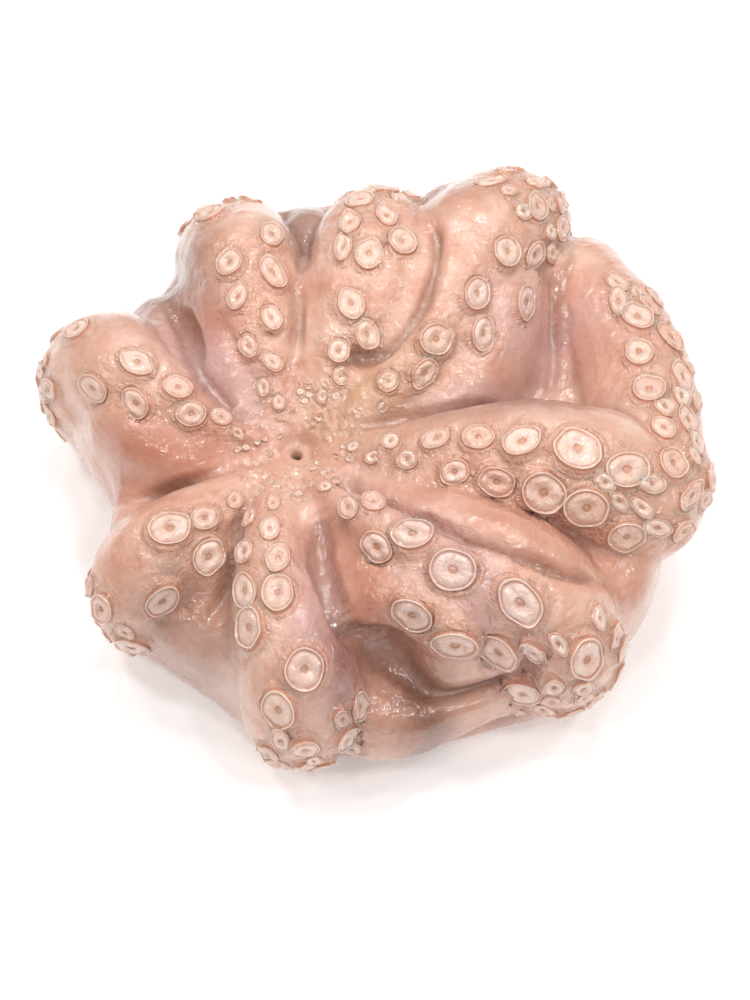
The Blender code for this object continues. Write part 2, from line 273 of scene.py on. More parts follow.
def web_body():
    """The body and the web: a ball pressed out to the web's rim."""
    bpy.ops.object.select_all(action="DESELECT")
    bpy.ops.mesh.primitive_uv_sphere_add(segments=WEB_SEGMENTS, ring_count=WEB_RINGS, radius=1.0)
    ball = bpy.context.object
    for vert in ball.data.vertices:
        heading = math.degrees(math.atan2(vert.co.y, vert.co.x)) % 360
        share = min(1.0, math.hypot(vert.co.x, vert.co.y))
        reach, crest, dip = web_at(heading, share)
        top = MOUTH_HEIGHT - WEB_BELOW_MOUTH
        top += (crest - top) * ease(share / WEB_SHOULDER) - dip * math.sin(math.pi * share)
        edge = WEB_EDGE if vert.co.z >= 0 else WEB_UNDER_EDGE
        past = min(edge, max(0.0, edge - reach * (1 - share)))
        fall = edge - math.sqrt(edge**2 - past**2)
        height = top - fall if vert.co.z >= 0 else WEB_UNDERSIDE + fall
        if abs(vert.co.z) < WELD:
            height = (top + WEB_UNDERSIDE) / 2
        vert.co = spot(heading, reach * share, height)
    return ball


def melted(name, pieces, voxel, smoothing):
    """The pieces melted into one skin, with creases softened by the smoothing steps."""
    bpy.ops.object.select_all(action="DESELECT")
    for piece in pieces:
        piece.select_set(True)
    bpy.context.view_layer.objects.active = pieces[0]
    bpy.ops.object.join()
    made = bpy.context.object
    made.name = made.data.name = name
    bpy.ops.object.mode_set(mode="EDIT")
    bpy.ops.mesh.select_all(action="SELECT")
    bpy.ops.mesh.remove_doubles(threshold=WELD)
    bpy.ops.object.mode_set(mode="OBJECT")
    remesh = made.modifiers.new("melt", "REMESH")
    remesh.mode = "VOXEL"
    remesh.voxel_size = voxel
    bpy.ops.object.modifier_apply(modifier=remesh.name)
    smooth = made.modifiers.new("soften", "SMOOTH")
    smooth.factor = 0.5
    smooth.iterations = smoothing
    bpy.ops.object.modifier_apply(modifier=smooth.name)
    return made


# ---- The skin -------------------------------------------------------------------------------------------
# One thin wet skin over the arms, the web and the body, loose enough to crease where the arms press on each
# other. It is pressed flat where the animal lies on the table.

SKIN_VOXEL = 0.00121
SKIN_SMOOTHING = 4
REFINED_OUT = 0.017

thin_limbs = [limb(arm_axis(arm, LIMB_IN_WEB)) for arm in ARMS]
flanks = [limb(flank_axis(arm)) for arm in ARMS]
web = melted("web", [web_body(), *thin_limbs, *flanks], WEB_VOXEL, WEB_SMOOTHING)
limbs = [limb(arm_axis(arm)) for arm in ARMS]
flanks = [limb(flank_axis(arm, LIMB_IN_WEB)) for arm in ARMS]

# Slack sides that lie over the gap to the next arm: heading, distance from the mouth, height and girth.
SLUMPS = (
    (
        (-24, 0.026, 0.058, 0.0060), (-20, 0.050, 0.062, 0.0100), (-18, 0.076, 0.062, 0.0130),
        (-17, 0.098, 0.054, 0.0125), (-16, 0.112, 0.044, 0.0110),
    ),
    (
        (-36, 0.024, 0.060, 0.0065), (-36, 0.047, 0.065, 0.0105), (-31, 0.073, 0.064, 0.0120),
        (-27, 0.095, 0.056, 0.0110), (-22, 0.110, 0.042, 0.0100),
    ),
    ((60, 0.036, 0.066, 0.0070), (61, 0.055, 0.072, 0.0110), (64, 0.076, 0.074, 0.0120), (70, 0.096, 0.069, 0.0110)),
    ((138, 0.024, 0.060, 0.0080), (129, 0.040, 0.062, 0.0125), (122, 0.058, 0.059, 0.0140), (117, 0.076, 0.050, 0.0125)),
    ((150, 0.022, 0.062, 0.0060), (140, 0.042, 0.061, 0.0120), (132, 0.062, 0.054, 0.0140), (128, 0.080, 0.042, 0.0130)),
    ((63, 0.086, 0.064, 0.0100), (63, 0.099, 0.060, 0.0125), (62, 0.108, 0.046, 0.0110)),
    ((43, 0.104, 0.052, 0.0090), (43, 0.118, 0.051, 0.0120), (43, 0.131, 0.041, 0.0125)),
    ((87, 0.062, 0.050, 0.0080), (87, 0.078, 0.052, 0.0120), (88, 0.094, 0.050, 0.0130), (88, 0.106, 0.036, 0.0120)),
)
SLUMP_WIDTH = 0.013
slumps = [limb([(spot(*step[:2], step[2]), step[3]) for step in slump]) for slump in SLUMPS]
skin = melted("octopus_skin", [web, *limbs, *flanks, *slumps], SKIN_VOXEL, SKIN_SMOOTHING)

bpy.ops.object.mode_set(mode="EDIT")
bpy.ops.mesh.select_all(action="SELECT")
bpy.ops.mesh.bisect(plane_co=(0, 0, 0), plane_no=(0, 0, -1), use_fill=True, clear_outer=True, threshold=WELD)
bpy.ops.mesh.separate(type="LOOSE")
bpy.ops.object.mode_set(mode="OBJECT")
shells = sorted(bpy.context.selected_objects, key=lambda piece: len(piece.data.vertices))
skin = shells.pop()
for shell in shells:
    bpy.data.objects.remove(shell)
skin.name = skin.data.name = "octopus_skin"


def alone(piece):
    """Selects only this piece and makes it the active one."""
    bpy.ops.object.select_all(action="DESELECT")
    piece.select_set(True)
    bpy.context.view_layer.objects.active = piece


def places_of(piece):
    """The piece's points, as rows."""
    rows = np.empty(len(piece.data.vertices) * 3, np.float32)
    piece.data.vertices.foreach_get("co", rows)
    return rows.reshape(-1, 3).astype(float)


def normals_of(piece):
    """The piece's normals at its points, as rows."""
    rows = np.empty(len(piece.data.vertices) * 3, np.float32)
    piece.data.vertex_normals.foreach_get("vector", rows)
    return rows.reshape(-1, 3).astype(float)


def put_places(piece, rows):
    """Moves the piece's points to these places."""
    piece.data.vertices.foreach_set("co", rows.astype(np.float32).ravel())
    piece.data.update()


def edges_of(piece):
    """The two ends of each edge, as rows of point numbers."""
    rows = np.empty(len(piece.data.edges) * 2, np.int32)
    piece.data.edges.foreach_get("vertices", rows)
    return rows.reshape(-1, 2)


def averaged(rows, edges, steps):
    """Values at the points, averaged with their neighbours' in that many steps."""
    ends = np.concatenate((edges, edges[:, ::-1]))
    count = np.bincount(ends[:, 0], minlength=len(rows))[:, None]
    for _ in range(steps):
        total = np.stack(
            [np.bincount(ends[:, 0], column[ends[:, 1]], len(rows)) for column in rows.T], axis=1
        )
        rows = rows * 0.5 + total / count * 0.5
    return rows


def eased(rows):
    """0 to 1 with a gentle start and end, for a whole row."""
    t = np.clip(rows, 0.0, 1.0)
    return t * t * (3 - 2 * t)


# Finer faces round the mouth, where the smallest suckers stand.
alone(skin)
bpy.ops.object.mode_set(mode="EDIT")
bpy.ops.mesh.select_all(action="DESELECT")
bpy.ops.object.mode_set(mode="OBJECT")
for face in skin.data.polygons:
    face.select = face.center.z > MOUTH_HEIGHT / 2 and (face.center - MOUTH).to_2d().length < REFINED_OUT
bpy.ops.object.mode_set(mode="EDIT")
bpy.ops.mesh.subdivide(number_cuts=1, smoothness=1.0)
bpy.ops.object.mode_set(mode="OBJECT")

# The deep creases where one arm's soft side slumps over the next: each is a path out from the mouth, as
# headings and distances. The gap that lies beside it closes up, and the skin is drawn in along the path.
Groove = namedtuple("Groove", "path cut basin")
GROOVES = (
    Groove(((-56, 0.014), (-43, 0.028), (-42, 0.051), (-41, 0.071), (-36, 0.092), (-32, 0.107), (-25, 0.120)), 0.0045, 0.0025),
    Groove(((-73, 0.026), (-78, 0.049), (-76, 0.072), (-68, 0.082), (-60, 0.098), (-50, 0.108), (-42, 0.121)), 0.0055, 0.0040),
    Groove(((162, 0.014), (147, 0.028), (142, 0.042), (131, 0.063), (126, 0.083)), 0.0040, 0.0040),
    Groove(((61, 0.022), (58, 0.032), (45, 0.043), (46, 0.060), (53, 0.078), (62, 0.098)), 0.0040, 0.0012),
)
CUT_WIDTH = 0.0024
BASIN_WIDTH = 0.0095
CLOSED_WIDTH = 0.0150
CLOSED_SHARE = 0.6
CLOSED_STEPS = 300
GROOVE_EASE = 0.016

places = places_of(skin)
normals = normals_of(skin)
softened = averaged(places, edges_of(skin), CLOSED_STEPS)
groove_line = np.zeros(len(places))
groove_near = np.zeros(len(places))
draw = np.zeros(len(places))
for groove in GROOVES:
    path = [centre for centre, _ in smooth_axis([(spot(*step, 0), 0.0) for step in groove.path])]
    path = np.array([(step.x, step.y) for step in path])
    away = np.linalg.norm(places[:, None, :2] - path[None, :, :], axis=2)
    nearest_step = away.argmin(axis=1)
    away = away.min(axis=1)
    along = np.hypot(*(path[nearest_step] - np.array(path[0])).T)
    strength = eased(along / GROOVE_EASE) * eased(places[:, 2] / 0.020)
    strength *= eased((along.max() - along) / GROOVE_EASE)
    line = np.exp(-((away / CUT_WIDTH) ** 2)) * strength
    groove_line = np.maximum(groove_line, line)
    groove_near = np.maximum(groove_near, np.exp(-((away / CLOSED_WIDTH) ** 2)))
    basin = np.exp(-((away / BASIN_WIDTH) ** 2)) * strength
    draw = np.maximum(draw, line * groove.cut + basin * groove.basin)
slump_near = np.zeros(len(places))
for slump in SLUMPS:
    path = [centre for centre, _ in smooth_axis([(spot(*step[:2], 0), 0.0) for step in slump])]
    path = np.array([(step.x, step.y) for step in path])
    away = np.linalg.norm(places[:, None, :2] - path[None, :, :], axis=2).min(axis=1)
    slump_near = np.maximum(slump_near, np.exp(-((away / SLUMP_WIDTH) ** 4)))
hollow = np.maximum(((softened - places) * normals).sum(axis=1), 0)
places += normals * (hollow * groove_near * CLOSED_SHARE - draw)[:, None] * eased(places[:, 2] / 0.012)[:, None]
put_places(skin, averaged(places, edges_of(skin), 2))

# ---- The suckers' places --------------------------------------------------------------------------------
# Two rows run down each arm, turn about, growing quickly from the mouth and shrinking again past the rim.
# Further small ones crowd round the mouth.

Strip = namedtuple("Strip", "arm first last steps side leans spreads narrowest widest growth")
STRIPS = (
    Strip("left", 0.0136, 0.105, (0.0072, 0.0105), -1, (-11, -32, -22), (9, 22, 30), 0.0050, 0.0112, 0.022),
    Strip("back_left", 0.0108, 0.115, (0.0064, 0.0098), 1, (-10, 5, 2), (12, 21, 22), 0.0048, 0.0108, 0.042),
    Strip("back", 0.0069, 0.105, (0.0068, 0.0104), 1, (15, 28, -34), (10, 20, 19), 0.0030, 0.0115, 0.034),
    Strip("back_right", 0.0212, 0.145, (0.0084, 0.0124), 1, (30, 60, 20), (13, 15, 20), 0.0046, 0.0117, 0.024),
    Strip("right", 0.0079, 0.119, (0.0061, 0.0078), 1, (10, 25, 44), (11, 17, 25), 0.0028, 0.0150, 0.072),
    Strip("right", 0.1240, 0.190, (0.0076, 0.0100), -1, (22, 17, 34), (12, 19, 14), 0.0090, 0.0115, 0.010),
    Strip("front_right", 0.0160, 0.128, (0.0062, 0.0122), 1, (-4, 66, 50), (19, 25, 38), 0.0052, 0.0162, 0.058),
    Strip("front", 0.0136, 0.105, (0.0052, 0.0094), 1, (20, 30, -52), (21, 17, 23), 0.0044, 0.0126, 0.042),
    Strip("front_left", 0.0232, 0.090, (0.0060, 0.0095), 1, (-36, -32, 18), (17, 25, 22), 0.0060, 0.0130, 0.026),
)
LAST_SIZE = 0.75
SIZE_SPREAD = 0.07
PLACE_SPREAD = 0.05
LEAN_SPREAD = 4
CUP_CLEARANCE = 1.04
LEAST_ROOM = 0.55
LOWEST_CUP = 0.9
LEAST_FACING = 0.52

Sucker = namedtuple("Sucker", "arm place facing along width slack")


def along_three(values, share):
    """A value eased through three given at the start, the middle and the end."""
    start, middle, end = values
    if share < 0.5:
        return start + (middle - start) * ease(share * 2)
    return middle + (end - middle) * ease(share * 2 - 1)


def sucker_places():
    """The suckers of the strips, on the skin."""
    tree = BVHTree.FromObject(skin, bpy.context.evaluated_depsgraph_get())
    by_name = {arm.name: arm for arm in ARMS}
    chance = random.Random(8)
    found = []
    for strip in STRIPS:
        arm = by_name[strip.arm]
        frames = limb_frames(arm_axis(arm))
        length, side = strip.first, strip.side
        while length < strip.last:
            share = (length - strip.first) / (strip.last - strip.first)
            grown = min(1.0, (length - strip.first) / strip.growth)
            width = strip.narrowest + (strip.widest - strip.narrowest) * grown
            width *= 1 - (1 - LAST_SIZE) * ease(share * 3 - 2)
            width *= 1 + chance.uniform(-SIZE_SPREAD, SIZE_SPREAD)
            shift = chance.uniform(-PLACE_SPREAD, PLACE_SPREAD) * width
            frame = min(frames, key=lambda item: abs(item.length - length - shift))
            lean = along_three(strip.leans, share) + side * along_three(strip.spreads, share)
            lean = math.radians(lean + chance.uniform(-LEAN_SPREAD, LEAN_SPREAD))
            outward = frame.up * math.cos(lean) + frame.across * math.sin(lean)
            hit, normal, _, _ = tree.ray_cast(frame.place, outward)
            length += strip.steps[0] + (strip.steps[1] - strip.steps[0]) * share
            side = -side
            if hit is None or hit.z < width * LOWEST_CUP or normal.dot(outward) < LEAST_FACING:
                continue
            facing = (normal + outward).normalized()
            for other in found:
                room = (hit - other.place).length * 2 / CUP_CLEARANCE - other.width
                if room < width * LEAST_ROOM:
                    break
                width = min(width, room)
            else:
                found.append(Sucker(strip.arm, hit, facing, frame.along, width, 0.35))
    return found


suckers = sucker_places()

# Over the rim the rows close up into crowds of soft suckers that fold over one another.
Crowd = namedtuple("Crowd", "arm first last leans count widths")
CROWDS = (
    Crowd("left", 0.078, 0.118, (-75, 35), 30, (0.0060, 0.0105)),
    Crowd("back_left", 0.082, 0.122, (-50, 45), 26, (0.0060, 0.0105)),
    Crowd("back", 0.085, 0.118, (-55, 50), 20, (0.0060, 0.0100)),
    Crowd("back", 0.062, 0.088, (-30, 40), 12, (0.0075, 0.0105)),
    Crowd("back_right", 0.100, 0.155, (-20, 85), 44, (0.0065, 0.0110)),
    Crowd("right", 0.088, 0.126, (10, 75), 26, (0.0070, 0.0120)),
    Crowd("right", 0.126, 0.190, (-5, 60), 26, (0.0060, 0.0100)),
    Crowd("front_right", 0.098, 0.142, (-25, 90), 48, (0.0065, 0.0120)),
    Crowd("front", 0.080, 0.118, (-75, 30), 40, (0.0060, 0.0110)),
    Crowd("front_left", 0.066, 0.104, (-45, 60), 30, (0.0060, 0.0110)),
)
CROWD_ROOM = 0.40
CROWD_FACING = 0.74
CROWD_LOWEST = 0.020

chance = random.Random(55)
tree = BVHTree.FromObject(skin, bpy.context.evaluated_depsgraph_get())
by_name = {arm.name: arm for arm in ARMS}
for crowd in CROWDS:
    frames = limb_frames(arm_axis(by_name[crowd.arm]))
    for _ in range(crowd.count * 3):
        length = chance.uniform(crowd.first, crowd.last)
        lean = math.radians(chance.uniform(*crowd.leans))
        width = chance.uniform(*crowd.widths)
        frame = min(frames, key=lambda item: abs(item.length - length))
        outward = frame.up * math.cos(lean) + frame.across * math.sin(lean)
        hit, normal, _, _ = tree.ray_cast(frame.place, outward)
        if hit is None or hit.z < CROWD_LOWEST or normal.dot(outward) < CROWD_FACING:
            continue
        gaps = [(hit - other.place).length - (other.width + width) * CROWD_ROOM for other in suckers]
        if min(gaps) > 0:
            suckers.append(Sucker(crowd.arm, hit, (normal + outward * 0.5).normalized(), frame.along, width, 1.0))

# Round the mouth: small suckers in the gaps, scattered evenly by the golden angle.
NURSERY_COUNT = 90
NURSERY_FIRST = 0.0055
NURSERY_LAST = 0.0230
NURSERY_WIDTHS = (0.0019, 0.0031)
GOLDEN_ANGLE = 137.508
RAY_HEIGHT = 0.12

chance = random.Random(21)
tree = BVHTree.FromObject(skin, bpy.context.evaluated_depsgraph_get())
for i in range(NURSERY_COUNT):
    share = (i + 0.5) / NURSERY_COUNT
    out = NURSERY_FIRST + (NURSERY_LAST - NURSERY_FIRST) * math.sqrt(share)
    start = spot(i * GOLDEN_ANGLE + chance.uniform(-9, 9), out, RAY_HEIGHT)
    hit, normal, _, _ = tree.ray_cast(start, Vector((0, 0, -1)))
    width = NURSERY_WIDTHS[0] + (NURSERY_WIDTHS[1] - NURSERY_WIDTHS[0]) * share * chance.uniform(0.5, 1.0)
    gaps = [(hit - other.place).length - (other.width + width) * 0.56 for other in suckers]
    if min(gaps) > 0:
        facing = (normal + Vector((0, 0, 0.3))).normalized()
        suckers.append(Sucker("mouth", hit, facing, Vector((1, 0, 0)), width, 0.5))

# ---- Relief of the skin ---------------------------------------------------------------------------------
# Slack skin: soft lumps over the muscle, creases drawn in between the arms, fine wrinkles across the arms,
# and a low pedestal with a moat under each sucker.

CREASE_STEPS = 30
CREASE_FULL = 0.0009
CREASE_DRAW = 0.0006
FOLD_LINE_WIDTH = 0.0026
FOLD_LINE_REACH = 0.0060
FOLD_LINE_DRAW = 0.0055
FOLD_LINE_FIRST = 0.024
LUMP_SIZE = 0.017
LUMP_HEIGHT = 0.0010
FOLD_SIZE = 0.0052
FOLD_HEIGHT = 0.00080
WRINKLE_SIZE = 0.0034
WRINKLE_HEIGHT = 0.00070
PEDESTAL = -0.03
PEDESTAL_EDGE = 0.50
PEDESTAL_FOOT = 0.74
PEDESTAL_DEPTH = 0.24
MOAT_DEPTH = 0.030
ZONE_OUT = 1.05
PIT_RADIUS = 0.0021
PIT_DEPTH = 0.0070
LIP_HEIGHT = 0.0005

places = places_of(skin)
normals = normals_of(skin)
edges = edges_of(skin)
on_table = places[:, 2] < SKIN_VOXEL / 4
above_table = eased(places[:, 2] / 0.006)

# Creases and ridges: how far the skin lies under or over its own softened surface.
hollow = ((averaged(places, edges, CREASE_STEPS) - places) * normals).sum(axis=1)
crease_and_painted_shade = eased(hollow / CREASE_FULL) * above_table
ridge = eased(-hollow / CREASE_FULL) * above_table

# The nearest arm at each point: the length along it and the angle round it.
nearest = np.full(len(places), 9.0)
second = np.full(len(places), 9.0)
arm_length = np.zeros(len(places))
arm_angle = np.zeros(len(places))
arm_number = np.zeros(len(places))
for number, arm in enumerate(ARMS):
    frames = limb_frames(arm_axis(arm))
    centres = np.array([item.place for item in frames])
    girths = np.array([item.radius for item in frames])
    gaps = np.linalg.norm(places[:, None, :] - centres[None, :, :], axis=2) - girths[None, :]
    index = gaps.argmin(axis=1)
    gap = gaps[np.arange(len(places)), index]
    for centre, girth in smooth_axis(flank_axis(arm)):
        gap = np.minimum(gap, np.linalg.norm(places - np.array(centre), axis=1) - girth)
    away = places - centres[index]
    ups = np.array([item.up for item in frames])[index]
    acrosses = np.array([item.across for item in frames])[index]
    angle = np.arctan2((away * acrosses).sum(axis=1), (away * ups).sum(axis=1))
    closer = gap < nearest
    second = np.where(closer, nearest, np.minimum(second, gap))
    nearest[closer] = gap[closer]
    arm_length[closer] = np.array([item.length for item in frames])[index][closer]
    arm_angle[closer] = angle[closer]
    arm_number[closer] = number
# The fold line between two arms that press on each other: as near to the one as to the other.
fold_line = np.exp(-(((second - nearest) / FOLD_LINE_WIDTH) ** 2))
fold_line *= np.exp(-((np.maximum(nearest, 0) / FOLD_LINE_REACH) ** 2)) * above_table
from_mouth = np.hypot(places[:, 0] - MOUTH.x, places[:, 1] - MOUTH.y)
fold_line *= eased((from_mouth - FOLD_LINE_FIRST) / FOLD_LINE_REACH / 3)
fold_line *= (1 - groove_near) * (1 - slump_near)


def noise_at(rows, size, seed):
    """Smooth noise from -1 to 1 at the points, with features of that size."""
    shift = Vector((seed * 7.3, seed * 3.1, seed * 5.7))
    return np.array([noise.noise(Vector(row) / size + shift) for row in rows])


# Where the suckers stand: 1 on their strips, falling away beside them.
zone = np.zeros(len(places))
collar = np.zeros(len(places))
for sucker in suckers:
    away = places - np.array(sucker.place)
    distance = np.linalg.norm(away, axis=1)
    near = distance < sucker.width * 3 * ZONE_OUT
    zone[near] = np.maximum(zone[near], np.exp(-((distance[near] / (sucker.width * ZONE_OUT)) ** 2)))

lumps = noise_at(places, LUMP_SIZE, 1)
folds = noise_at(np.stack((arm_length * 1.6, arm_angle * 0.010, arm_number), axis=1), FOLD_SIZE, 2)
wrinkles = 1 - np.abs(noise_at(places + normals * 0.003, WRINKLE_SIZE, 3)) * 2
rise = lumps * LUMP_HEIGHT + folds * FOLD_HEIGHT * (0.35 + 0.65 * zone)
rise += wrinkles * WRINKLE_HEIGHT * np.clip(zone * 1.3 - 0.2, 0.12, 1)
rise -= crease_and_painted_shade * CREASE_DRAW * eased(from_mouth / 0.03) + fold_line * FOLD_LINE_DRAW
rise *= above_table
places += normals * rise[:, None]

# Pedestals: the skin rises to a level top under each sucker.
for sucker in suckers:
    facing = np.array(sucker.facing)
    away = places - np.array(sucker.place)
    depth = away @ facing
    flat = np.linalg.norm(away - depth[:, None] * facing, axis=1) / sucker.width
    near = (flat < 1.0) & (np.abs(depth) < sucker.width * PEDESTAL_DEPTH) & (normals @ facing > 0.3)
    share = 1 - eased((flat[near] - PEDESTAL_EDGE) / (PEDESTAL_FOOT - PEDESTAL_EDGE))
    moat = np.exp(-(((flat[near] - PEDESTAL_FOOT) / 0.09) ** 2)) * MOAT_DEPTH * sucker.width
    lift = (PEDESTAL * sucker.width - depth[near]) * share - moat
    lift *= eased((1 - np.abs(depth[near]) / sucker.width / PEDESTAL_DEPTH) * 2)
    lift *= eased(((normals @ facing)[near] - 0.30) / 0.35)
    places[near] += lift[:, None] * facing
    collar[near] = np.maximum(collar[near], np.exp(-(((flat[near] - 0.62) / 0.10) ** 2)))

# The mouth: a small pit with a soft lip.
out = np.hypot(places[:, 0] - MOUTH.x, places[:, 1] - MOUTH.y)
at_mouth = (out < PIT_RADIUS * 3) & (places[:, 2] > MOUTH_HEIGHT / 2)
pit = eased(1 - out / PIT_RADIUS) * at_mouth
places[:, 2] -= pit * PIT_DEPTH
places[:, 2] += np.exp(-(((out - PIT_RADIUS * 1.4) / (PIT_RADIUS * 0.6)) ** 2)) * LIP_HEIGHT * at_mouth
places[on_table, 2] = 0.0
places[:, 2] = np.maximum(places[:, 2], 0.0)
put_places(skin, places)


# ---- Colour of the skin ---------------------------------------------------------------------------------
# Raw skin is nearly clear over pale muscle, with pigment that gathers in patches: salmon on the flanks, lilac
# along the shaded edges, amber round the mouth. The grey mauve on the web between the arms is partly pigment and
# partly painted shade, darkening the gaps where shade falls. Each patch is named, placed by its heading and
# distance from the mouth, and sized along and across that heading.

Patch = namedtuple("Patch", "pigment heading out along across strength")
PATCHES = (
    Patch("salmon", -178, 0.042, 0.034, 0.013, 0.9),
    Patch("salmon", -23, 0.082, 0.046, 0.010, 0.7),
    Patch("salmon", 127, 0.052, 0.026, 0.011, 0.9),
    Patch("salmon", 24, 0.114, 0.030, 0.018, 0.5),
    Patch("salmon", -68, 0.060, 0.030, 0.012, 0.8),
    Patch("salmon", -150, 0.050, 0.020, 0.010, 0.3),
    # The mauve patches lie in the gaps and valleys between the arms: partly pigment, partly painted shade.
    Patch("mauve_and_painted_shade", 127, 0.088, 0.022, 0.022, 1.0),
    Patch("mauve_and_painted_shade", 90, 0.102, 0.026, 0.010, 1.0),
    Patch("mauve_and_painted_shade", 63, 0.116, 0.016, 0.012, 0.7),
    Patch("mauve_and_painted_shade", 20, 0.092, 0.016, 0.006, 0.35),
    Patch("mauve_and_painted_shade", -172, 0.086, 0.014, 0.020, 0.6),
    Patch("mauve_and_painted_shade", -115, 0.080, 0.020, 0.020, 0.6),
    Patch("mauve_and_painted_shade", 6, 0.074, 0.034, 0.009, 0.9),
    Patch("brown", -126, 0.066, 0.024, 0.012, 0.5),
    Patch("salmon", -31, 0.080, 0.034, 0.007, 0.5),
    Patch("lilac", -46, 0.078, 0.036, 0.009, 1.0),
    Patch("lilac", 137, 0.044, 0.028, 0.009, 1.0),
    Patch("lilac", 30, 0.096, 0.030, 0.014, 0.8),
    Patch("lilac", -85, 0.066, 0.028, 0.009, 0.9),
    Patch("lilac", 15, 0.058, 0.026, 0.006, 0.8),
    Patch("purple", -79, 0.086, 0.016, 0.008, 1.0),
    Patch("brown", -64, 0.098, 0.020, 0.012, 1.0),
    Patch("amber", 30, 0.027, 0.024, 0.014, 1.0),
)


def put_attribute(piece, name, values):
    """Keeps a value for each point, for the material to read."""
    made = piece.data.attributes.new(name, "FLOAT", "POINT")
    made.data.foreach_set("value", np.asarray(values, np.float32))


def put_pigments(piece):
    """Works out each pigment's share at the piece's points."""
    rows = places_of(piece)
    shares = {patch.pigment: np.zeros(len(rows)) for patch in PATCHES}
    blotch = 1 + noise_at(rows, 0.011, 5) * 0.35
    for patch in PATCHES:
        middle = spot(patch.heading, patch.out, 0)
        angle = math.radians(patch.heading)
        x, y = rows[:, 0] - middle.x, rows[:, 1] - middle.y
        along = (x * math.cos(angle) + y * math.sin(angle)) / patch.along
        across = (y * math.cos(angle) - x * math.sin(angle)) / patch.across
        weight = np.exp(-(along**2) - across**2) * patch.strength * blotch
        shares[patch.pigment] = np.maximum(shares[patch.pigment], np.clip(weight, 0, 1))
    for name, values in shares.items():
        put_attribute(piece, name, values)


put_pigments(skin)
# The crease mask, with the fold lines and grooves, also sets painted shade: the skin's colour is darkened to deep
# brown along them, where shade falls between the arms.
crease_and_painted_shade = np.maximum(crease_and_painted_shade, np.maximum(fold_line, groove_line))
put_attribute(skin, "crease_and_painted_shade", crease_and_painted_shade)
put_attribute(skin, "ridge", ridge)
put_attribute(skin, "zone", zone)
put_attribute(skin, "collar", collar)
# The pit mask also carries the mouth's painted shade.
put_attribute(skin, "pit", pit)


def shade(hex_colour):
    """An sRGB hex colour as linear red, green, blue and alpha."""
    levels = [int(hex_colour[i:i + 2], 16) / 255 for i in (1, 3, 5)]
    linear = [x / 12.92 if x <= 0.04045 else ((x + 0.055) / 1.055) ** 2.4 for x in levels]
    return (*linear, 1.0)


def add(tree, kind, inputs=None, **settings):
    """Adds a node, sets its fields, and fills or links its inputs."""
    made = tree.nodes.new("ShaderNode" + kind)
    for field, value in settings.items():
        setattr(made, field, value)
    for key, value in (inputs or {}).items():
        if isinstance(value, bpy.types.NodeSocket):
            tree.links.new(value, made.inputs[key])
        else:
            made.inputs[key].default_value = value
    return made


# Raw cephalopod skin, wet: clear mucus over translucent tissue gives a soft glow in the thin parts, a
# milky surface and small sharp sparkles on every wrinkle.
wet_skin = bpy.data.materials.new("raw_skin_wet")
wet_skin.use_nodes = True
tree = wet_skin.node_tree
shader = tree.nodes["Principled BSDF"]
shader.inputs["Roughness"].default_value = 0.42
shader.inputs["IOR"].default_value = 1.40
shader.inputs["Subsurface Weight"].default_value = 0.35
shader.inputs["Subsurface Radius"].default_value = (1.0, 0.42, 0.28)
shader.inputs["Subsurface Scale"].default_value = 0.0035
shader.inputs["Coat Weight"].default_value = 0.9
shader.inputs["Coat Roughness"].default_value = 0.05
shader.inputs["Coat IOR"].default_value = 1.60

PIGMENT_SHADES = {
    "salmon": "#BA7458",
    # Mauve is partly pigment and partly painted shade in the gaps between the arms.
    "mauve_and_painted_shade": "#967569",
    "lilac": "#D0A6A0",
    "purple": "#94645F",
    "brown": "#865844",
    "amber": "#C99A78",
}
where = add(tree, "TexCoord").outputs["Object"]
mottle = add(tree, "TexNoise", {"Vector": where, "Scale": 1 / 0.016, "Detail": 4.0, "Roughness": 0.6})
speckle = add(tree, "TexNoise", {"Vector": where, "Scale": 1 / 0.0022, "Detail": 3.0, "Roughness": 0.6})
share = add(tree, "MapRange", {0: mottle.outputs[0], 1: 0.35, 2: 0.65}).outputs[0]
colour = add(tree, "Mix", {0: share, 6: shade("#D0967C"), 7: shade("#E6BEAB")}, data_type="RGBA").outputs[2]
zone_share = add(tree, "Attribute", attribute_name="zone").outputs["Fac"]
zone_share = add(tree, "Math", {0: zone_share, 1: 0.45}, operation="MULTIPLY").outputs[0]
colour = add(tree, "Mix", {0: zone_share, 6: colour, 7: shade("#DDAA94")}, data_type="RGBA").outputs[2]
for name, pigment in PIGMENT_SHADES.items():
    share = add(tree, "Attribute", attribute_name=name).outputs["Fac"]
    colour = add(tree, "Mix", {0: share, 6: colour, 7: shade(pigment)}, data_type="RGBA").outputs[2]
collar_share = add(tree, "Attribute", attribute_name="collar").outputs["Fac"]
collar_share = add(tree, "Math", {0: collar_share, 1: 0.7}, operation="MULTIPLY").outputs[0]
colour = add(tree, "Mix", {0: collar_share, 6: colour, 7: shade("#D49C84")}, data_type="RGBA").outputs[2]
# Painted shade: the skin is darkened to a deep brown in the creases, fold lines and grooves between the arms.
painted_crease_shade = add(tree, "Attribute", attribute_name="crease_and_painted_shade").outputs["Fac"]
painted_crease_shade = add(tree, "Math", {0: painted_crease_shade, 1: 0.48}, operation="MULTIPLY").outputs[0]
colour = add(tree, "Mix", {0: painted_crease_shade, 6: colour, 7: shade("#6E4338")}, data_type="RGBA").outputs[2]
share = add(tree, "MapRange", {0: speckle.outputs[0], 1: 0.40, 2: 0.75, 3: 0.0, 4: 0.14}).outputs[0]
colour = add(tree, "Mix", {0: share, 6: colour, 7: shade("#E9CDBF")}, data_type="RGBA").outputs[2]
